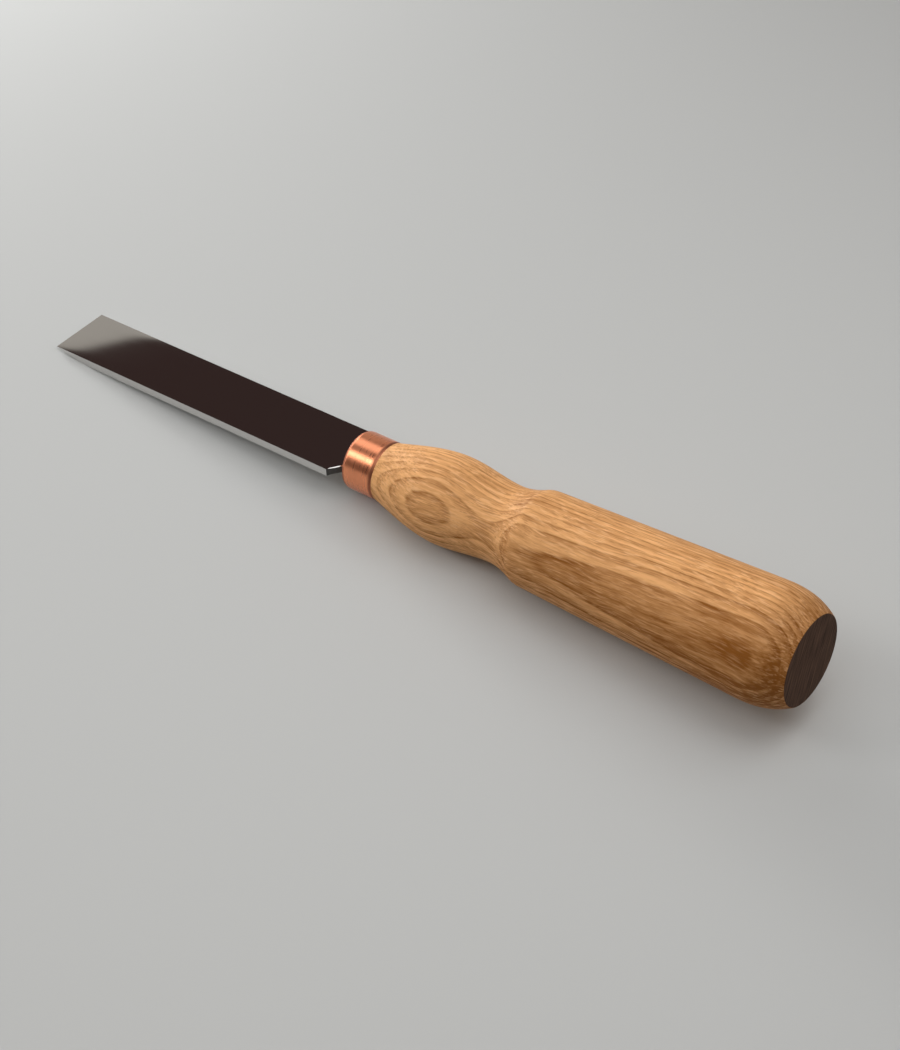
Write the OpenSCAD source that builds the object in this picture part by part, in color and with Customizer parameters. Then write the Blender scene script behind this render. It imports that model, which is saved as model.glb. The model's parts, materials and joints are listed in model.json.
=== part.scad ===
// Flat carving chisel: a polished flat blade with a tang, a copper ferrule and a turned oak handle.
// Tool axis: s runs from the cutting edge to the butt, v across the blade, h up through its thickness.
// The finished chisel lies on a bench, resting on its bevel and on the bulb of its handle.

/* [Blade] */
// Width of the blade at its shoulder
blade_w = 20.2; // [14:0.1:40]
// Width of the blade at its cutting edge
edge_w = 19.7; // [8:0.1:40]
// Thickness of the flat steel stock
blade_t = 2.5; // [1.5:0.1:4]
// Length from the cutting edge to the shoulder
blade_l = 107.3; // [60:0.1:180]
// Length of the rounded bevel ground under the cutting edge
bevel_l = 13; // [6:0.5:25]
// Length of the sloping shoulder behind the full width
shoulder_l = 4.7; // [2:0.1:8]
// Bearing of the shoulder on the wood, on each side of the tang's bore
shoulder_seat = 0.5; // [0.3:0.1:1.5]

/* [Tang] */
// Width of the tang where it leaves the shoulder
tang_w = 6; // [4:0.5:9]
// Width of the tang at its far end
tang_tip_w = 4; // [2:0.5:6]
// Depth to which the tang is ground below each face of the blade
tang_relief = 0.15; // [0.1:0.05:0.4]
// Length of the tang
tang_l = 55; // [30:1:90]
// Least thickness of the bedding resin around the tang
bedding_t = 0.3; // [0.2:0.1:1]

/* [Ferrule] */
// Outside diameter of the copper tube
ferrule_d = 17.6; // [16:0.1:22]
// Wall of the copper tube
ferrule_wall = 1; // [0.7:0.1:1.5]
// Length of the ferrule
ferrule_l = 10.75; // [6:0.05:20]
// Length over which each rim rolls inward
rim_l = 1.2; // [0.4:0.1:2]
// Depth to which each rim rolls inward
rim_drop = 0.6; // [0.2:0.1:0.7]
// Distance of the wooden tenon's end inside the ferrule's mouth
mouth_recess = 0.25; // [0.1:0.05:2]

/* [Handle] */
// Length from the ferrule to the butt
handle_l = 137.55; // [110:0.05:180]
// Width of the wooden shoulder behind the ferrule
neck_seat = 1; // [0.4:0.1:1.5]
// Rise of the neck's surface per millimetre where it leaves the ferrule
neck_slope = 0.27; // [0.1:0.01:0.4]
// Diameter of the bulb in front of the waist
bulb_d = 26.3; // [24:0.1:30]
// Distance from the ferrule to the thickest part of the bulb
bulb_at = 22.45; // [16:0.05:30]
// Diameter of the waist
waist_d = 22.8; // [20:0.1:26]
// Distance from the ferrule to the narrowest part of the waist
waist_at = 40.95; // [32:0.05:45]
// Diameter where the cove meets the edge of the grip
crest_d = 27.1; // [26:0.1:28]
// Distance from the ferrule to the edge of the grip
crest_at = 49.95; // [46:0.05:60]
// Rise of the cove's surface per millimetre at the edge of the grip
crest_slope = 0.45; // [0.2:0.01:0.8]
// Length over which the edge of the grip is rounded
crest_l = 3.5; // [2:0.1:6]
// Diameter of the grip behind its edge
grip_d = 28.3; // [28:0.1:30]
// Diameter of the belly, the thickest part of the grip
belly_d = 33.3; // [30:0.1:38]
// Length of the rounding from the belly to the butt's face
butt_l = 15.1; // [8:0.1:25]
// Diameter of the flat face at the butt
butt_d = 26; // [20:0.1:29]
// Fall of the butt's surface per millimetre at its flat face
butt_slope = 0.68; // [0.3:0.01:1.2]

/* [Hidden] */
$fn = 96;
span_steps = 24; // steps in each curved span of the handle's outline
bevel_steps = 16; // steps in the bevel's arc
rim_steps = 8; // steps in each rim's quarter of an ellipse
past = 1; // overshoot of a cutting shape

// Stations along the tool axis
tenon_front = blade_l + shoulder_l;
ferrule_front = tenon_front - mouth_recess;
ferrule_rear = ferrule_front + ferrule_l;
tang_end = tenon_front + tang_l;
bore_end = tang_end + bedding_t;
butt_at = ferrule_rear + handle_l;
belly_at = butt_at - butt_l;

// Fits
tenon_r = ferrule_d / 2 - ferrule_wall;
neck_r = tenon_r + neck_seat;
tang_t = blade_t - 2 * tang_relief;
bore_d = norm([tang_w, tang_t]) + 2 * bedding_t;
shoulder_w = bore_d + 2 * shoulder_seat;
bevel_r = (bevel_l ^ 2 + blade_t ^ 2) / (2 * blade_t);
bevel_turn = asin(bevel_l / bevel_r);

// Half outline of the turned wood: each station is [distance, radius, slope]
stations = [
    [ferrule_rear, neck_r, neck_slope],
    [ferrule_rear + bulb_at, bulb_d / 2, 0],
    [ferrule_rear + waist_at, waist_d / 2, 0],
    [ferrule_rear + crest_at, crest_d / 2, crest_slope],
    [ferrule_rear + crest_at + crest_l, grip_d / 2, grip_taper()],
    [belly_at, belly_d / 2, grip_taper()],
    [butt_at, butt_d / 2, -butt_slope],
];

// Slope of the straight grip between its edge and its belly
function grip_taper() =
    (belly_d - grip_d) / 2 / (belly_at - ferrule_rear - crest_at - crest_l);

// Point at share t of the smooth cubic span that joins stations a and b with their slopes
function span_point(a, b, t) =
    let (l = b[0] - a[0])
    [
        a[0] + l * t,
        a[1] * (1 + 2 * t) * (1 - t) ^ 2 + b[1] * t ^ 2 * (3 - 2 * t)
            + l * t * (1 - t) * (a[2] * (1 - t) - b[2] * t)
    ];

turned_outline = [
    for (i = [0 : len(stations) - 2], k = [(i == 0 ? 0 : 1) : span_steps])
        span_point(stations[i], stations[i + 1], k / span_steps)
];

// Tilt at which the bench touches both the bevel's arc and a point p = [distance, radius] under the handle
function tilt_over(p) =
    let (d = p[0] - bevel_l, h = blade_t / 2 - bevel_r - p[1])
    asin(-bevel_r / norm([d, h])) - atan2(h, d);

tilt = max([for (p = turned_outline) tilt_over(p)]);
bench_z = bevel_l * sin(tilt) + (bevel_r - blade_t / 2) * cos(tilt) - bevel_r;
tip_x = -blade_t / 2 * sin(tilt);
butt_x = max([for (p = turned_outline) p[0] * cos(tilt) + p[1] * sin(tilt)]);

// Lays a piece of the tool on the bench, with the middle of its length over the origin
module laid() {
    translate([-(tip_x + butt_x) / 2, 0, -bench_z])
        rotate([0, -tilt, 0])
            children();
}

// Turns a half outline of [distance, radius] points about the tool axis
module turned(outline) {
    rotate([0, 90, 0])
        rotate_extrude()
            polygon([for (p = outline) [p[1], p[0]]]);
}

// Plan of the blade, with its shoulder and tang; it runs past the edge, where the bevel cuts it
module blade_plan() {
    edge_taper = (blade_w - edge_w) / 2 / blade_l;
    half = [
        [-past, edge_w / 2 - past * edge_taper],
        [blade_l, blade_w / 2],
        [tenon_front, shoulder_w / 2],
        [tenon_front, tang_w / 2],
        [tang_end, tang_tip_w / 2],
    ];
    polygon(concat(half, [for (i = [len(half) - 1 : -1 : 0]) [half[i][0], -half[i][1]]]));
}

// Side of the blade: flat on top to the cutting edge, the bevel's arc underneath, the thinner tang behind
module blade_side() {
    arc = [
        for (k = [0 : bevel_steps])
            let (a = bevel_turn * (1 - k / bevel_steps))
            [bevel_l - bevel_r * sin(a), bevel_r * (1 - cos(a)) - blade_t / 2]
    ];
    under = [
        [tenon_front, -blade_t / 2],
        [tenon_front, -tang_t / 2],
        [tang_end + past, -tang_t / 2],
    ];
    polygon(concat(arc, under, [for (i = [len(under) - 1 : -1 : 0]) [under[i][0], -under[i][1]]]));
}

module forged_blade() {
    intersection() {
        linear_extrude(2 * blade_t, center = true) blade_plan();
        rotate([90, 0, 0]) linear_extrude(max(blade_w, edge_w) + 2 * past, center = true) blade_side();
    }
}

// Bore in the handle's tenon, from its front to the given distance
module tang_bore(from, to) {
    translate([from, 0, 0]) rotate([0, 90, 0]) cylinder(h = to - from, d = bore_d);
}

module blade() {
    color("#6f6a67") laid() forged_blade();
}

module ferrule() {
    // Quarter of an ellipse: distance from the tube's end, and radius
    rim = [
        for (k = [0 : rim_steps])
            let (a = 90 * k / rim_steps)
            [rim_l * (1 - cos(a)), ferrule_d / 2 - rim_drop * (1 - sin(a))]
    ];
    tube = concat(
        [for (p = rim) [ferrule_front + p[0], p[1]]],
        [for (i = [rim_steps : -1 : 0]) [ferrule_rear - rim[i][0], rim[i][1]]],
        [[ferrule_rear, tenon_r], [ferrule_front, tenon_r]]
    );
    color("#b9714a") laid() turned(tube);
}

module handle() {
    blank = concat(
        [[tenon_front, 0], [tenon_front, tenon_r], [ferrule_rear, tenon_r]],
        turned_outline,
        [[butt_at, 0]]
    );
    color("#c18d54") laid() difference() {
        turned(blank);
        tang_bore(tenon_front - past, bore_end);
    }
}

module tang_bedding() {
    color("#d9cba6") laid() difference() {
        tang_bore(tenon_front, bore_end);
        forged_blade();
    }
}

blade();
ferrule();
handle();
tang_bedding();
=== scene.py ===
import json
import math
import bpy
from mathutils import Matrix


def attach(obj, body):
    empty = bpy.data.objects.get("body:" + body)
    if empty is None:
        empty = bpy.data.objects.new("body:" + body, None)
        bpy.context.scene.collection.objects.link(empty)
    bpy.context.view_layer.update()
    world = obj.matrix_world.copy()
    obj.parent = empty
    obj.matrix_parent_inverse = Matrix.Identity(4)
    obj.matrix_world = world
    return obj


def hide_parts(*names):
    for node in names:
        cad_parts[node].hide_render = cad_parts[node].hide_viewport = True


bl_info = {
    "name": "Flat carving chisel",
    "version": (1, 0, 0),
    "blender": (4, 5, 0),
    "location": "3D View > Sidebar > Chisel",
    "description": "Flat carving chisel with a polished blade, copper ferrule and turned oak handle",
    "category": "Add Mesh",
}

from types import SimpleNamespace

import bpy
import numpy as np
from bpy.props import FloatProperty, FloatVectorProperty, PointerProperty
from bpy.types import Operator, Panel, PropertyGroup
from mathutils import Quaternion, Vector

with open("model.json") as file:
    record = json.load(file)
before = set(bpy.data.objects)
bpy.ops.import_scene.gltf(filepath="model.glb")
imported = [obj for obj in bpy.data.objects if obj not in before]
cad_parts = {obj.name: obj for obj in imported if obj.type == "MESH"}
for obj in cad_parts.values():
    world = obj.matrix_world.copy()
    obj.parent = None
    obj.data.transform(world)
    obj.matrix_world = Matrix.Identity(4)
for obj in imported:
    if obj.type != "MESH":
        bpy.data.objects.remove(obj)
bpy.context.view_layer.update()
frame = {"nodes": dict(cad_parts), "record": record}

# Tool axes in the shared frame: along from the edge to the butt, across the blade, and up through it
MOUNTS = {mount["name"]: mount for mount in frame["record"]["mounts"]}
ALONG = np.array(MOUNTS["butt_face"]["axis"])
RISE = np.array(MOUNTS["blade_face"]["axis"])
ACROSS = np.cross(RISE, ALONG)
BUTT_CENTRE = np.array(MOUNTS["butt_face"]["pos_m"])
TILT = math.atan2(ALONG[2], ALONG[0])

MILLIMETRES = 1000.0
SHARP_ANGLE = math.radians(30)
TURN_STEPS = 192


def length(name, description, default):
    """A size in metres."""
    return FloatProperty(
        name=name, description=description, default=default, unit="LENGTH", precision=5
    )


def slope(name, description, default):
    """A rise of the surface for each metre along the tool."""
    return FloatProperty(name=name, description=description, default=default)


def angle(name, description, degrees):
    """An angle, written in degrees and kept in radians."""
    return FloatProperty(
        name=name, description=description, default=math.radians(degrees), subtype="ANGLE"
    )


def colour(name, description, default):
    """A linear colour."""
    return FloatVectorProperty(
        name=name, description=description, default=default, subtype="COLOR", size=3, min=0, max=1
    )


def watts(name, description, default):
    """The power of a lamp."""
    return FloatProperty(name=name, description=description, default=default, unit="POWER")


class BladeSizes(PropertyGroup):
    """Sizes of the steel blade and its tang."""

    width: length("Width", "Width of the blade at its shoulder", 0.0202)
    edge_width: length("Edge width", "Width of the blade at its cutting edge", 0.0197)
    thickness: length("Thickness", "Thickness of the flat steel", 0.0025)
    length: length("Length", "Length from the cutting edge to the shoulder", 0.1073)
    bevel: length("Bevel", "Length of the rounded bevel under the cutting edge", 0.013)
    shoulder: length("Shoulder", "Length of the sloping shoulder behind the full width", 0.0047)
    shoulder_seat: length("Shoulder seat", "Bearing of the shoulder beside the bore", 0.0005)
    arris: length("Arris", "Width of the eased long edges", 0.000004)
    shoulder_arris: length("Shoulder arris", "Depth of the eased edges of the shoulder", 0.0002)
    crown: length("Crown", "Fall of the polished top face at its long edges", 0.000004)
    keenness: length("Keenness", "Thickness left at the cutting edge", 0.00002)
    tang_width: length("Tang width", "Width of the tang at the shoulder", 0.006)
    tang_tip_width: length("Tang tip width", "Width of the tang at its far end", 0.004)
    tang_relief: length("Tang relief", "Depth of the tang below each face of the blade", 0.00015)
    tang_length: length("Tang length", "Length of the tang", 0.055)
    bedding: length("Bedding", "Least thickness of the resin around the tang", 0.0003)


class FerruleSizes(PropertyGroup):
    """Sizes of the copper ferrule."""

    diameter: length("Diameter", "Outside diameter of the tube", 0.0176)
    wall: length("Wall", "Wall of the tube", 0.001)
    length: length("Length", "Length of the ferrule", 0.01075)
    rim: length("Rim", "Length over which each rim rolls inward", 0.0012)
    rim_drop: length("Rim drop", "Depth to which each rim rolls inward", 0.0006)
    recess: length("Recess", "Distance of the tenon's end inside the mouth", 0.00025)


class HandleSizes(PropertyGroup):
    """Sizes of the turned handle, measured from the rear of the ferrule."""

    length: length("Length", "Length from the ferrule to the butt", 0.13755)
    neck_seat: length("Neck seat", "Width of the wooden shoulder behind the ferrule", 0.001)
    neck_slope: slope("Neck slope", "Rise of the neck where it leaves the ferrule", 0.27)
    bulb_diameter: length("Bulb diameter", "Diameter of the bulb", 0.0263)
    bulb_at: length("Bulb at", "Distance to the thickest part of the bulb", 0.02245)
    waist_diameter: length("Waist diameter", "Diameter of the waist", 0.0228)
    waist_at: length("Waist at", "Distance to the narrowest part of the waist", 0.04095)
    crest_diameter: length("Crest diameter", "Diameter at the edge of the grip", 0.0271)
    crest_at: length("Crest at", "Distance to the edge of the grip", 0.04995)
    crest_slope: slope("Crest slope", "Rise of the cove at the edge of the grip", 0.45)
    crest_length: length("Crest length", "Length over which the edge is rounded", 0.0035)
    grip_diameter: length("Grip diameter", "Diameter of the grip behind its edge", 0.0283)
    belly_diameter: length("Belly diameter", "Diameter of the thickest part", 0.0333)
    butt_rounding: length("Butt rounding", "Length of the rounding before the butt", 0.0151)
    butt_diameter: length("Butt diameter", "Diameter of the flat butt face", 0.026)
    butt_slope: slope("Butt slope", "Fall of the rounding at the butt face", 0.68)
    butt_easing: length("Butt easing", "Width of the eased edge of the butt face", 0.0003)


class ChiselFinish(PropertyGroup):
    """Colours of the materials and the lie of the grain."""

    steel: colour("Steel", "Polished steel", (0.66, 0.645, 0.625))
    oxide: colour("Oxide", "Dark scale on the shoulder and the tang", (0.02, 0.019, 0.017))
    copper: colour("Copper", "Turned copper", (0.93, 0.345, 0.175))
    # Random tarnish, and also the painted shade at both rims of the ferrule
    tarnish_and_shade: colour("Tarnish", "Browned copper at the rims", (0.36, 0.135, 0.075))
    pale_wood: colour("Pale wood", "Dense wood at the end of a year", (0.77, 0.405, 0.165))
    dark_wood: colour("Dark wood", "Porous wood at the start of a year", (0.25, 0.087, 0.014))
    pore: colour("Pores", "Oil that has darkened the pores", (0.24, 0.09, 0.025))
    ray: colour("Rays", "Flecks of the rays", (0.88, 0.51, 0.25))
    stain: colour("Stain", "Dark stain on the butt face", (0.085, 0.047, 0.031))
    stain_line: colour("Stain lines", "Stain where a year begins", (0.035, 0.019, 0.012))
    resin: colour("Resin", "Cured bedding resin", (0.7, 0.6, 0.38))
    grain_turn: angle("Grain turn", "Direction of the pith's far side around the tool", 155)
    year: length("Year", "Thickness of one year's growth", 0.00145)
    first_year: length("First year", "Distance of a year's boundary from the tool's axis", 0.01225)
    pith: length("Pith", "Distance of the pith from the tool's axis", 0.15)


class StudioSettings(PropertyGroup):
    """Floor, lamps and camera."""

    floor: colour("Floor", "Pale floor", (0.515, 0.525, 0.515))
    floor_size: length("Floor size", "Side of the floor", 8.0)
    key_power: watts("Key power", "Softbox at the left front", 2.4)
    left_power: watts("Left power", "Low lamp at the left", 5.06)
    low_power: watts("Low power", "Low lamp behind the blade", 2.7)
    right_power: watts("Right power", "Lamp high at the right", 0.6)
    top_power: watts("Top power", "Large softbox overhead, to the front", 1.78)
    panel_power: watts("Panel power", "Panel that the ferrule mirrors", 0.62)
    wall_top: angle("Wall top", "Height of the pale wall, seen from the chisel", 31.0)
    wall: colour("Wall", "Pale wall behind the chisel", (0.44, 0.415, 0.38))
    dark: colour("Dark", "Dark of the studio above the wall", (0.0445, 0.0268, 0.0247))
    camera_target: FloatVectorProperty(
        name="Camera target", description="Point on the floor at the middle of the picture",
        default=(0.01133, 0.00284, 0.0), subtype="TRANSLATION", unit="LENGTH", precision=5,
    )
    camera_azimuth: angle("Camera azimuth", "Turn of the camera to the right of the front", 36.67)
    camera_elevation: angle("Camera elevation", "Height of the camera over the floor", 43.48)
    camera_roll: angle("Camera roll", "Turn of the camera about its own axis", 1.137)
    camera_distance: length("Camera distance", "Distance of the camera from its target", 0.6822)
    camera_lens: FloatProperty(
        name="Lens", description="Focal length in millimetres", default=82.54
    )


def layout(scene):
    """Distances along the tool, from the cutting edge, and radii that follow from the sizes."""
    blade = scene.chisel_blade
    ferrule = scene.chisel_ferrule
    handle = scene.chisel_handle
    tenon_front = blade.length + blade.shoulder
    ferrule_front = tenon_front - ferrule.recess
    ferrule_rear = ferrule_front + ferrule.length
    tang_end = tenon_front + blade.tang_length
    tang_thickness = blade.thickness - 2 * blade.tang_relief
    bore_radius = math.hypot(blade.tang_width, tang_thickness) / 2 + blade.bedding
    return SimpleNamespace(
        tenon_front=tenon_front,
        ferrule_front=ferrule_front,
        ferrule_rear=ferrule_rear,
        waist=ferrule_rear + handle.waist_at,
        tang_end=tang_end,
        bore_end=tang_end + blade.bedding,
        butt=ferrule_rear + handle.length,
        tenon_radius=ferrule.diameter / 2 - ferrule.wall,
        bore_radius=bore_radius,
        tang_thickness=tang_thickness,
        shoulder_width=2 * (bore_radius + blade.shoulder_seat),
    )


def placed(scene, along, across, up):
    """Points in the shared frame: the butt's centre plus each distance times its axis."""
    from_butt = np.asarray(along) - layout(scene).butt
    return (
        BUTT_CENTRE
        + np.multiply.outer(from_butt, ALONG)
        + np.multiply.outer(across, ACROSS)
        + np.multiply.outer(up, RISE)
    )


def grid_faces(rows, columns, closed=False):
    """Four-sided faces between the rings of a grid; if closed, the last ring joins the first."""
    ring = np.arange(rows if closed else rows - 1)[:, None]
    step = np.arange(columns)[None, :]
    after = (step + 1) % columns
    following = (ring + 1) % rows
    corners = (
        ring * columns + step,
        ring * columns + after,
        following * columns + after,
        following * columns + step,
    )
    return np.stack(corners, axis=-1).reshape(-1, 4)


def put_mesh(name, points, faces, material):
    """A smooth mesh object at the origin, with sharp edges where its faces turn by a large angle."""
    mesh = bpy.data.meshes.new(name)
    mesh.from_pydata(points.reshape(-1, 3), [], faces)
    mesh.polygons.foreach_set("use_smooth", np.ones(len(mesh.polygons), dtype=bool))
    mesh.set_sharp_from_angle(angle=SHARP_ANGLE)
    mesh.materials.append(material)
    mesh.validate()
    mesh.update()
    piece = bpy.data.objects.new(name, mesh)
    bpy.context.scene.collection.objects.link(piece)
    return piece


def dress(piece, node):
    """Makes a piece ride on the chisel's body in place of its solid, which it hides."""
    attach(piece, "root")
    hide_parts(node)


def turned_rings(scene, profile):
    """Rings of a turned surface: each [distance, radius] swept about the tool's axis."""
    turn = np.linspace(0, 2 * np.pi, TURN_STEPS, endpoint=False)
    distance = np.repeat(profile[:, :1], TURN_STEPS, axis=1)
    across = profile[:, 1:] * np.cos(turn)
    up = profile[:, 1:] * np.sin(turn)
    return placed(scene, distance, across, up)


def eased_corner(before, corner, after, steps):
    """Points of the parabola that leaves one line and joins another where they meet at a corner."""
    t = np.linspace(0, 1, steps)[:, None]
    return (1 - t) ** 2 * before + 2 * t * (1 - t) * corner + t**2 * after


def handle_outline(scene, steps):
    """Half outline of the turned wood: smooth cubic spans between stations.

    A station is a distance, a radius and a slope. Each span has the radius and slope of its two
    stations at its ends.
    """
    at = layout(scene)
    sizes = scene.chisel_handle
    rear = at.ferrule_rear
    belly = at.butt - sizes.butt_rounding
    grip = rear + sizes.crest_at + sizes.crest_length
    taper = (sizes.belly_diameter - sizes.grip_diameter) / 2 / (belly - grip)
    stations = np.array([
        [rear, at.tenon_radius + sizes.neck_seat, sizes.neck_slope],
        [rear + sizes.bulb_at, sizes.bulb_diameter / 2, 0],
        [at.waist, sizes.waist_diameter / 2, 0],
        [rear + sizes.crest_at, sizes.crest_diameter / 2, sizes.crest_slope],
        [grip, sizes.grip_diameter / 2, taper],
        [belly, sizes.belly_diameter / 2, taper],
        [at.butt, sizes.butt_diameter / 2, -sizes.butt_slope],
    ])
    start = stations[:-1, None, :]
    end = stations[1:, None, :]
    t = np.linspace(0, 1, steps, endpoint=False)[None, :]
    span = end[..., 0] - start[..., 0]
    distance = start[..., 0] + span * t
    radius = (
        start[..., 1] * (1 + 2 * t) * (1 - t) ** 2
        + end[..., 1] * t**2 * (3 - 2 * t)
        + span * t * (1 - t) * (start[..., 2] * (1 - t) - end[..., 2] * t)
    )
    return np.stack([distance.ravel(), radius.ravel()], axis=1)


class Value:
    """A node's output, which takes part in sums as a number does by adding Math nodes."""

    def __init__(self, graph, socket):
        self.graph = graph
        self.socket = socket

    def math(self, operation, *terms):
        """The result of a Math node on the terms."""
        return self.graph.node("ShaderNodeMath", {"operation": operation}, dict(enumerate(terms)))

    def __add__(self, other):
        return self.math("ADD", self, other)

    __radd__ = __add__

    def __sub__(self, other):
        return self.math("SUBTRACT", self, other)

    def __rsub__(self, other):
        return self.math("SUBTRACT", other, self)

    def __mul__(self, other):
        return self.math("MULTIPLY", self, other)

    __rmul__ = __mul__

    def __truediv__(self, other):
        return self.math("DIVIDE", self, other)

    def __pow__(self, other):
        return self.math("POWER", self, other)

    def __mod__(self, other):
        return self.math("FLOORED_MODULO", self, other)

    def greatest(self, other):
        """The larger of this and another number."""
        return self.math("MAXIMUM", self, other)

    def parts(self):
        """The three numbers of a vector."""
        split = self.graph.node("ShaderNodeSeparateXYZ", {}, {0: self})
        outputs = split.socket.node.outputs
        return [Value(self.graph, outputs[axis]) for axis in range(3)]


class Graph:
    """The nodes of a material or of the world."""

    def __init__(self, owner):
        owner.use_nodes = True
        self.tree = owner.node_tree
        self.tree.nodes.clear()

    def node(self, kind, settings, sockets, output=0):
        """Adds a node of a kind, sets its settings, then the values or links of its sockets."""
        made = self.tree.nodes.new(kind)
        for setting, value in settings.items():
            setattr(made, setting, value)
        for socket, value in sockets.items():
            if isinstance(value, Value):
                self.tree.links.new(value.socket, made.inputs[socket])
            else:
                made.inputs[socket].default_value = value
        return Value(self, made.outputs[output]) if made.outputs else made

    def mapped(self, vector, location=(0, 0, 0), rotation=(0, 0, 0), scale=(1, 1, 1)):
        """A vector that is scaled, then turned, then moved."""
        sockets = {"Vector": vector, "Location": location, "Rotation": rotation, "Scale": scale}
        return self.node("ShaderNodeMapping", {"vector_type": "POINT"}, sockets)

    def object_coordinates(self):
        """Places in the shared frame, because every piece sits at the origin."""
        return self.node("ShaderNodeTexCoord", {}, {}, "Object")

    def tool_coordinates(self, scene):
        """Distance along, across and up from the middle of the cutting edge, in millimetres."""
        edge = MILLIMETRES * placed(scene, 0.0, 0.0, 0.0)
        offset = (-(edge @ ALONG), -(edge @ ACROSS), -(edge @ RISE))
        return self.mapped(self.object_coordinates(), offset, (0, TILT, 0), (MILLIMETRES,) * 3)

    def vector(self, *parts):
        """A vector of three numbers."""
        return self.node("ShaderNodeCombineXYZ", {}, dict(enumerate(parts)))

    def noise(self, vector, stretch, detail, roughness=0.5):
        """Cloudy noise about 0.5, with features as long as one over the stretch on each axis."""
        sockets = {
            "Vector": self.mapped(vector, scale=stretch),
            "Scale": 1.0,
            "Detail": detail,
            "Roughness": roughness,
        }
        return self.node("ShaderNodeTexNoise", {}, sockets)

    def ripple(self, vector, stretch, detail, roughness=0.5):
        """The same noise about 0, which makes a sum larger here and smaller there."""
        return self.noise(vector, stretch, detail, roughness) - 0.5

    def smooth(self, value, low, high):
        """Rises smoothly from 0 at low to 1 at high."""
        sockets = {"Value": value, "From Min": low, "From Max": high}
        return self.node("ShaderNodeMapRange", {"interpolation_type": "SMOOTHSTEP"}, sockets)

    def mix(self, factor, first, second):
        """A colour between two colours."""
        sockets = {0: factor, 6: opaque(first), 7: opaque(second)}
        return self.node("ShaderNodeMix", {"data_type": "RGBA"}, sockets, 2)

    def scaled(self, tint, factor):
        """A colour made brighter or darker."""
        return self.node("ShaderNodeVectorMath", {"operation": "SCALE"}, {0: tint, "Scale": factor})

    def bump(self, height, distance):
        """A normal for a height of 0 to 1, which stands for the distance in metres."""
        sockets = {"Height": height, "Distance": distance, "Strength": 1.0}
        return self.node("ShaderNodeBump", {}, sockets)

    def shader(self, sockets):
        """A Principled shader."""
        return self.node("ShaderNodeBsdfPrincipled", {}, sockets)

    def surface(self, shader):
        """Makes a shader the material's surface."""
        self.node("ShaderNodeOutputMaterial", {}, {"Surface": shader})


def opaque(tint):
    """A colour as four numbers, or a link as it is."""
    return tint if isinstance(tint, Value) else (*tint, 1.0)


def new_material(name):
    """A material and its empty graph."""
    material = bpy.data.materials.new(name)
    return material, Graph(material)


def polished_steel(scene):
    """Mirror polished steel with faint lengthwise lines, and dark scale where the mask says."""
    finish = scene.chisel_finish
    material, graph = new_material("polished_steel")
    tool = graph.tool_coordinates(scene)
    oxide = graph.node("ShaderNodeAttribute", {"attribute_name": "oxide"}, {}, "Fac")
    lines = graph.noise(tool, (0.02, 6.0, 6.0), detail=3)
    cloud = graph.noise(tool, (0.06, 0.12, 0.12), detail=2)
    scale = graph.noise(tool, (1.2, 1.2, 1.2), detail=3)
    graph.surface(graph.shader({
        "Base Color": graph.mix(oxide * (0.9 + 0.1 * scale), finish.steel, finish.oxide),
        "Metallic": 1 - oxide,
        "Roughness": 0.015 + 0.015 * lines + 0.01 * cloud + 0.6 * oxide,
    }))
    return material


def turned_copper(scene):
    """Bright copper with turning lines, with painted shade at its rear rim where it meets the wood,
    and a front rim that is rougher and painted darker to dim its reflection.
    """
    finish = scene.chisel_finish
    at = layout(scene)
    material, graph = new_material("turned_copper")
    tool = graph.tool_coordinates(scene)
    along = tool.parts()[0]
    front = at.ferrule_front * MILLIMETRES
    rear = at.ferrule_rear * MILLIMETRES
    lines = graph.noise(tool, (1.2, 0.03, 0.03), detail=2, roughness=0.6)
    cloud = graph.noise(tool, (0.4, 0.25, 0.25), detail=3)
    # Painted shade: a dark band at the rear rim, standing in for the shade of the groove where the
    # ferrule meets the wood
    painted_groove_shade = graph.smooth(along, rear - 1.6, rear - 0.7)
    # The front rim is rougher, and painted darker to dim the lamp's reflection in it
    dulled_and_shaded = 1 - graph.smooth(along, front + 0.4, front + 1.2)
    # Random tarnish, with painted shade at both rims
    tarnish_and_shade = 0.9 * painted_groove_shade + 0.9 * dulled_and_shaded + 0.15 * graph.smooth(cloud, 0.45, 0.7)
    graph.surface(graph.shader({
        "Base Color": graph.mix(tarnish_and_shade, finish.copper, finish.tarnish_and_shade),
        "Metallic": 1.0,
        "Roughness": 0.17 + 0.16 * lines + 0.08 * cloud + 0.15 * painted_groove_shade + 0.4 * dulled_and_shaded,
        "Normal": graph.bump(lines, 0.000003),
    }))
    return material


def oak_years(scene, graph, grain, on_grip):
    """Depth in millimetres outside a year's boundary, and the share of its year at each point.

    Years are shells about the pith that sway along the trunk and ripple, on the grip most. Outside
    the boundary they are thicker, so the count of years falls behind the depth.
    """
    finish = scene.chisel_finish
    outward, sideways = grain.parts()[1:]
    pith = finish.pith * MILLIMETRES
    boundary = pith + finish.first_year * MILLIMETRES
    sway = graph.ripple(grain, (0.012, 0.05, 0.05), detail=1)
    ripple = graph.ripple(grain, (0.06, 0.4, 0.4), detail=2)
    from_pith = ((outward + pith) ** 2 + sideways**2) ** 0.5
    depth = from_pith - boundary + 0.8 * sway + (0.17 + 0.08 * on_grip) * ripple
    behind = depth.greatest(0) * (0.078 + 0.028 * depth)
    return depth, (depth / (finish.year * MILLIMETRES) - behind) % 1


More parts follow.
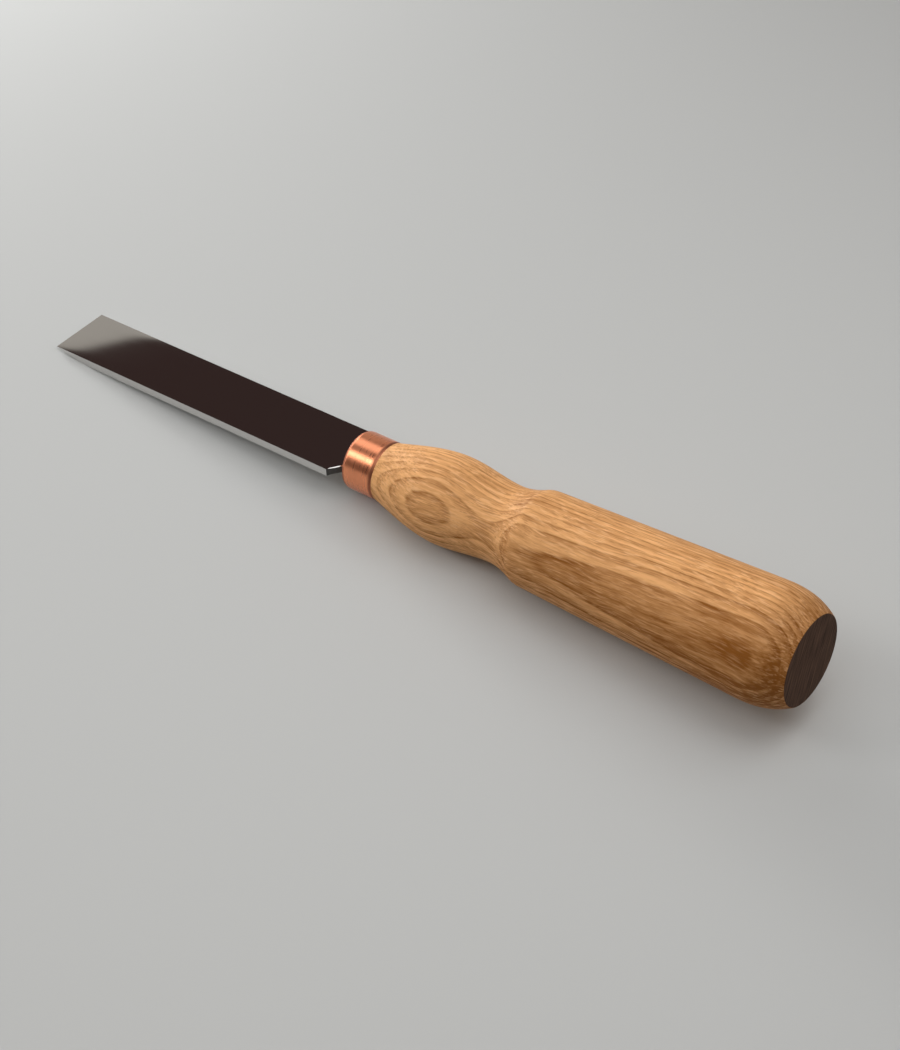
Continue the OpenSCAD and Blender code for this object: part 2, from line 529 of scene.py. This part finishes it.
def oiled_oak(scene):
    """Oak in years of porous and dense wood, with fibres, pores and rays, a stained butt, and
    painted shade on one side and towards the butt.
    """
    finish = scene.chisel_finish
    at = layout(scene)
    material, graph = new_material("oiled_oak")
    tool = graph.tool_coordinates(scene)
    along, across = tool.parts()[:2]
    grain = graph.mapped(tool, rotation=(-finish.grain_turn, 0, 0))
    outward, sideways = grain.parts()[1:]
    waist = at.waist * MILLIMETRES
    butt = at.butt * MILLIMETRES
    on_grip = graph.smooth(along, waist, waist + 20.0)

    # A year opens with a dark line and porous wood, each year as strongly as its own vigour says
    depth, year = oak_years(scene, graph, grain, on_grip)
    opening = graph.smooth(year, 0.0, 0.16)
    line = opening * (1 - graph.smooth(year, 0.12, 0.28))
    porous = opening * (1 - graph.smooth(year, 0.18, 0.90))
    vigour = graph.ripple(grain, (0.002, 0.55, 0.02), detail=1)
    clear = 0.6 + 0.4 * graph.smooth(depth, -6.0, 0.0)
    outer = graph.smooth(depth, 0.3, 4.0)

    # Fibres, pores and rays are long along the grain and narrow across it
    wander = graph.ripple(tool, (0.028, 0.05, 0.05), detail=1)
    fibre = graph.vector(along, outward, sideways + 8 * wander)
    dash = graph.ripple(fibre, (0.22, 2.2, 2.2), detail=2, roughness=0.6)
    streak = graph.ripple(fibre, (0.05, 0.7, 0.7), detail=2)
    cloud = graph.ripple(fibre, (0.02, 0.09, 0.09), detail=2)
    vessels = graph.noise(fibre, (0.18, 3.2, 3.2), detail=1)
    pores = graph.smooth(vessels + 0.16 * porous, 0.60, 0.74)
    flecks = graph.smooth(graph.noise(fibre, (0.2, 1.1, 1.7), detail=2), 0.50, 0.68)

    # Oil soaks in where the surface cuts the fibres, and the grip is painted darker towards its
    # butt, a painted shade where less light falls.
    # Seen from the butt, the wood is darker at the right, which is painted shade as well
    normal = graph.node("ShaderNodeTexCoord", {}, {}, "Normal")
    sockets = {0: normal, 1: ALONG}
    lean = graph.node("ShaderNodeVectorMath", {"operation": "DOT_PRODUCT"}, sockets, "Value")
    end_grain = graph.smooth(lean * lean, 0.02, 0.25)
    # Painted shade: the grip darkens over the last 60 mm before the butt
    painted_shade_to_butt = graph.smooth(along, butt - 60.0, butt)
    # Painted shade: the side where across is negative is made darker, as if in shade
    painted_side_shade = 1 - graph.smooth(across, -16.5, -10.5)

    # The shade is 0 where the wood is palest and 1 where it is darkest; it holds painted shade as
    # well as the wood's own tone
    years = clear * (porous * (0.22 + 0.4 * vigour) + line * (0.16 + 1.2 * streak))
    fibres = 0.65 * dash + streak + 0.7 * cloud
    # Oil in the end grain, and painted shade that darkens the grip and more so towards its butt
    soaked_and_shaded = 0.28 * end_grain + 0.06 * on_grip + 0.2 * painted_shade_to_butt
    shade = 0.10 + years + fibres + soaked_and_shaded + 0.18 * outer + 0.45 * painted_side_shade
    wood = graph.mix(shade, finish.pale_wood, finish.dark_wood)
    wood = graph.mix(flecks * (0.42 - 0.2 * outer), wood, finish.ray)
    wood = graph.mix(pores * 0.36, wood, finish.pore)
    turned = graph.shader({
        "Base Color": wood,
        "Roughness": 0.5 + 0.15 * pores + 0.3 * dash,
        "Specular IOR Level": 0.06,
        "Normal": graph.bump(dash - 0.8 * pores, 0.00003),
    })

    # The end grain of the butt face holds a matt stain, up to a crisp edge
    lines = graph.noise(grain, (0.3, 2.6, 0.10), detail=3, roughness=0.6)
    stain = graph.mix(line * 0.5, finish.stain, finish.stain_line)
    stained = graph.shader({
        "Base Color": graph.scaled(stain, 3.6 * lines - 0.75),
        "Roughness": 0.8,
        "Specular IOR Level": 0.1,
    })
    butt_face = graph.smooth(along, butt - 0.12, butt - 0.06)
    graph.surface(graph.node("ShaderNodeMixShader", {}, {0: butt_face, 1: turned, 2: stained}))
    return material


def cast_resin(scene):
    """Cured resin with faint clouds."""
    finish = scene.chisel_finish
    material, graph = new_material("cast_resin")
    cloud = graph.noise(graph.tool_coordinates(scene), (0.5, 0.5, 0.5), detail=3)
    graph.surface(graph.shader({
        "Base Color": graph.scaled(graph.mix(cloud, finish.resin, finish.pale_wood), 0.9),
        "Roughness": 0.3 + 0.2 * cloud,
    }))
    return material


def bench_paint(scene):
    """Matt pale paint with the faintest mottle."""
    paint = scene.chisel_studio.floor
    material, graph = new_material("bench_paint")
    mottle = graph.noise(graph.object_coordinates(), (3.0, 3.0, 3.0), detail=3)
    graph.surface(graph.shader({
        "Base Color": graph.mix(mottle, [0.985 * part for part in paint], paint),
        "Roughness": 0.9,
        "Specular IOR Level": 0.1,
    }))
    return material


class CHISEL_OT_blade(Operator):
    """Make the flat steel blade with its rounded bevel, shoulder and tang."""

    bl_idname = "chisel.blade"
    bl_label = "Blade"

    bevel_steps = 24
    top_steps = 25
    crown_power = 8
    easing_start = 0.1

    def sections(self, scene):
        """Rows of distance, half width, underside, top, and depth and inset of the arris.

        They run from the edge to the tang's end. Under the bevel the blade is an arc that meets the
        underside without a corner, and its arrises take a third of the thickness at most.
        """
        sizes = scene.chisel_blade
        at = layout(scene)
        half = sizes.thickness / 2
        radius = (sizes.bevel**2 + sizes.thickness**2) / (2 * sizes.thickness)
        turn = np.linspace(math.asin(sizes.bevel / radius), 0, self.bevel_steps)
        distance = sizes.bevel - radius * np.sin(turn)
        under = np.minimum(radius * (1 - np.cos(turn)) - half, half - sizes.keenness)
        width = sizes.edge_width / 2 + (sizes.width - sizes.edge_width) / 2 * distance / sizes.length
        top = np.full_like(distance, half)
        arris = np.minimum(sizes.arris, (half - under) / 3)
        bevel = np.stack([distance, width, under, top, arris, arris], axis=1)

        # Behind its first tenth the shoulder's slope has an eased edge that leans at 45 degrees
        fall = (sizes.width - at.shoulder_width) / 2
        eased_at = sizes.length + self.easing_start * sizes.shoulder
        eased_width = sizes.width / 2 - self.easing_start * fall
        inset = sizes.shoulder_arris * math.hypot(fall, sizes.shoulder) / sizes.shoulder
        eased = [sizes.shoulder_arris, inset]
        plain = [sizes.arris, sizes.arris]
        tang = at.tang_thickness / 2
        rest = np.array([
            [sizes.length, sizes.width / 2, -half, half, *plain],
            [eased_at, eased_width, -half, half, *eased],
            [at.tenon_front, at.shoulder_width / 2, -half, half, *eased],
            [at.tenon_front, sizes.tang_width / 2, -tang, tang, *plain],
            [at.tang_end, sizes.tang_tip_width / 2, -tang, tang, *plain],
        ])
        return np.concatenate([bevel, rest])

    def execute(self, context):
        """Each section runs up its near side, over the top, down the far side and back underneath.

        The top falls by the crown times a high power of the share of the half width, as polishing
        leaves it.
        """
        scene = context.scene
        rows = self.sections(scene)
        distance, width, under, top, arris, inset = rows.T[:, :, None]
        over = np.sin(np.linspace(1, -1, self.top_steps) * np.pi / 2)[None, :]
        fall = scene.chisel_blade.crown * over**self.crown_power
        narrow = width - inset
        across = np.hstack([width, width, narrow * over, -width, -width, -narrow, narrow])
        up = np.hstack(
            [under + arris, top - arris, top - fall, top - arris, under + arris, under, under]
        )
        corners = across.shape[1]
        points = placed(scene, np.repeat(distance, corners, axis=1), across, up)
        sides = grid_faces(len(rows), corners)
        last = (len(rows) - 1) * corners
        caps = [list(range(last, last + corners)), list(range(corners))[::-1]]
        piece = put_mesh("polished_blade", points, sides.tolist() + caps, polished_steel(scene))

        # The two sloping sides of the shoulder and the whole tang keep their dark scale
        slopes = self.bevel_steps + np.arange(2)
        oxide = np.zeros(len(piece.data.polygons))
        oxide[np.add.outer(slopes * corners, [0, self.top_steps + 2])] = 1
        oxide[(slopes[-1] + 1) * corners:-1] = 1
        mask = piece.data.attributes.new("oxide", "FLOAT", "FACE")
        mask.data.foreach_set("value", oxide)
        dress(piece, "blade")
        return {"FINISHED"}


class CHISEL_OT_ferrule(Operator):
    """Make the copper ferrule with its rolled rims."""

    bl_idname = "chisel.ferrule"
    bl_label = "Ferrule"

    rim_steps = 14

    def execute(self, context):
        """Each rim is a quarter of an ellipse from the tube's end to its outside."""
        scene = context.scene
        sizes = scene.chisel_ferrule
        at = layout(scene)
        turn = np.linspace(0, np.pi / 2, self.rim_steps)
        depth = sizes.rim * (1 - np.cos(turn))
        radius = sizes.diameter / 2 - sizes.rim_drop * (1 - np.sin(turn))
        front = np.stack([at.ferrule_front + depth, radius], axis=1)
        rear = np.stack([at.ferrule_rear - depth, radius], axis=1)[::-1]
        bore = np.array([[at.ferrule_rear, at.tenon_radius], [at.ferrule_front, at.tenon_radius]])
        profile = np.concatenate([front, rear, bore])
        points = turned_rings(scene, profile)
        faces = grid_faces(len(profile), TURN_STEPS, closed=True)
        piece = put_mesh("copper_ferrule", points, faces.tolist(), turned_copper(scene))
        dress(piece, "ferrule")
        return {"FINISHED"}


class CHISEL_OT_handle(Operator):
    """Make the turned oak handle with its bored tenon and stained butt."""

    bl_idname = "chisel.handle"
    bl_label = "Handle"

    span_steps = 26
    easing_steps = 6

    def execute(self, context):
        """The profile runs from the bore's bottom round the tenon and along the outline to the butt.

        Its rings are closed by a fan of triangles at the bore's bottom and one at the butt face.
        """
        scene = context.scene
        sizes = scene.chisel_handle
        at = layout(scene)
        tenon = np.array([
            [at.bore_end, at.bore_radius],
            [at.tenon_front, at.bore_radius],
            [at.tenon_front, at.tenon_radius],
            [at.ferrule_rear, at.tenon_radius],
        ])
        outline = handle_outline(scene, self.span_steps)
        corner = np.array([at.butt, sizes.butt_diameter / 2])
        back = np.array([1, -sizes.butt_slope]) / math.hypot(1, sizes.butt_slope)
        before = corner - back * sizes.butt_easing
        beyond = corner - [0, sizes.butt_easing]
        easing = eased_corner(before, corner, beyond, self.easing_steps)
        profile = np.concatenate([tenon, outline, easing])
        rings = turned_rings(scene, profile).reshape(-1, 3)
        poles = placed(scene, np.array([at.bore_end, at.butt]), np.zeros(2), np.zeros(2))
        step = np.arange(TURN_STEPS)
        after = (step + 1) % TURN_STEPS
        first_pole = np.full_like(step, len(rings))
        last_ring = len(rings) - TURN_STEPS
        bore_bottom = np.stack([first_pole, after, step], axis=1)
        butt_face = np.stack([last_ring + step, last_ring + after, first_pole + 1], axis=1)
        faces = grid_faces(len(profile), TURN_STEPS).tolist()
        faces += bore_bottom.tolist() + butt_face.tolist()
        piece = put_mesh("oak_handle", np.concatenate([rings, poles]), faces, oiled_oak(scene))
        dress(piece, "handle")
        return {"FINISHED"}


class CHISEL_OT_bedding(Operator):
    """Finish the resin that beds the tang in its bore."""

    bl_idname = "chisel.bedding"
    bl_label = "Tang bedding"

    def execute(self, context):
        """The solid keeps its shape and gets its material."""
        solid = frame["nodes"]["tang_bedding"]
        solid.data.materials.clear()
        solid.data.materials.append(cast_resin(context.scene))
        return {"FINISHED"}


class CHISEL_OT_stage(Operator):
    """Lay the floor, hang the lamps and set the camera."""

    bl_idname = "chisel.stage"
    bl_label = "Stage"

    wall_edge = 0.0015
    wall_start = -0.1
    wall_full = 0.15
    nearest = 0.01

    def floor(self, scene):
        """A square of paint about the origin."""
        half = scene.chisel_studio.floor_size / 2
        corners = np.array([[-half, -half, 0], [half, -half, 0], [half, half, 0], [-half, half, 0]])
        piece = put_mesh("floor", corners, [[0, 1, 2, 3]], bench_paint(scene))

    def hold(self, scene, name, data, location, facing, roll=0.0):
        """Puts up a lamp or a camera that looks against the facing direction."""
        holder = bpy.data.objects.new(name, data)
        holder.location = location
        holder.rotation_mode = "QUATERNION"
        holder.rotation_quaternion = facing.to_track_quat("Z", "Y") @ Quaternion((0, 0, 1), roll)
        scene.collection.objects.link(holder)
        return holder

    def lamp(self, scene, name, power, side, azimuth, elevation, distance):
        """A square lamp that faces the chisel; azimuth turns from +X towards +Y, in degrees."""
        turn = math.radians(azimuth)
        rise = math.radians(elevation)
        level = math.cos(rise)
        towards = Vector((math.cos(turn) * level, math.sin(turn) * level, math.sin(rise)))
        light = bpy.data.lights.new(name, "AREA")
        light.energy = power
        light.size = side
        self.hold(scene, name, light, towards * distance, towards)

    def room(self, scene):
        """A studio that is dark but for a pale wall low down behind the chisel."""
        studio = scene.chisel_studio
        world = bpy.data.worlds.new("room")
        scene.world = world
        graph = Graph(world)
        direction = graph.node("ShaderNodeTexCoord", {}, {}, "Generated")
        depth, height = direction.parts()[1:]
        wall_top = math.sin(studio.wall_top)
        below = 1 - graph.smooth(height, wall_top - self.wall_edge, wall_top + self.wall_edge)
        behind = graph.smooth(depth, self.wall_start, self.wall_full)
        tint = graph.mix(below * behind, studio.dark, studio.wall)
        background = graph.node("ShaderNodeBackground", {}, {"Color": tint, "Strength": 1.0})
        graph.node("ShaderNodeOutputWorld", {}, {"Surface": background})

    def camera(self, scene):
        """A camera that looks at its target from its azimuth, elevation and distance."""
        studio = scene.chisel_studio
        turn = studio.camera_azimuth
        rise = studio.camera_elevation
        level = math.cos(rise)
        back = Vector((math.sin(turn) * level, -math.cos(turn) * level, math.sin(rise)))
        lens = bpy.data.cameras.new("camera")
        lens.lens = studio.camera_lens
        lens.clip_start = self.nearest
        location = Vector(studio.camera_target) + back * studio.camera_distance
        scene.camera = self.hold(scene, "camera", lens, location, back, studio.camera_roll)

    def execute(self, context):
        """Lamps are given by their side and distance in metres and their direction in degrees."""
        scene = context.scene
        studio = scene.chisel_studio
        scene.view_settings.view_transform = "Standard"
        self.floor(scene)
        for name, power, side, azimuth, elevation, distance in (
            ("key_lamp", studio.key_power, 0.42, -140, 39, 1.5),
            ("left_lamp", studio.left_power, 0.4, -158, 18, 1.2),
            ("low_lamp", studio.low_power, 0.2, 158, 16, 0.7),
            ("right_lamp", studio.right_power, 0.377, 30, 62, 0.5),
            ("top_lamp", studio.top_power, 0.6, -60, 70, 0.6),
            ("panel_lamp", studio.panel_power, 0.4, 157, 49.5, 0.9),
        ):
            self.lamp(scene, name, power, side, azimuth, elevation, distance)
        self.room(scene)
        self.camera(scene)
        return {"FINISHED"}


class CHISEL_PT_panel(Panel):
    """Lists the pieces of the chisel and their sizes."""

    bl_label = "Chisel"
    bl_space_type = "VIEW_3D"
    bl_region_type = "UI"
    bl_category = "Chisel"

    def draw(self, context):
        for operator in OPERATORS:
            self.layout.operator(operator.bl_idname)
        for name in GROUPS:
            settings = getattr(context.scene, name)
            box = self.layout.box()
            for setting in settings.__annotations__:
                box.prop(settings, setting)


GROUPS = {
    "chisel_blade": BladeSizes,
    "chisel_ferrule": FerruleSizes,
    "chisel_handle": HandleSizes,
    "chisel_finish": ChiselFinish,
    "chisel_studio": StudioSettings,
}
OPERATORS = (
    CHISEL_OT_blade,
    CHISEL_OT_ferrule,
    CHISEL_OT_handle,
    CHISEL_OT_bedding,
    CHISEL_OT_stage,
)
CLASSES = (*GROUPS.values(), *OPERATORS, CHISEL_PT_panel)


def register():
    """Registers the classes and gives each scene its settings."""
    for item in CLASSES:
        bpy.utils.register_class(item)
    for name, group in GROUPS.items():
        setattr(bpy.types.Scene, name, PointerProperty(type=group))


def unregister():
    """Takes the settings and the classes away again."""
    for name in GROUPS:
        delattr(bpy.types.Scene, name)
    for item in reversed(CLASSES):
        bpy.utils.unregister_class(item)


def main():
    """Builds the chisel and its stage."""
    register()
    bpy.ops.chisel.blade()
    bpy.ops.chisel.ferrule()
    bpy.ops.chisel.handle()
    bpy.ops.chisel.bedding()
    bpy.ops.chisel.stage()


if __name__ == "__main__":
    main()
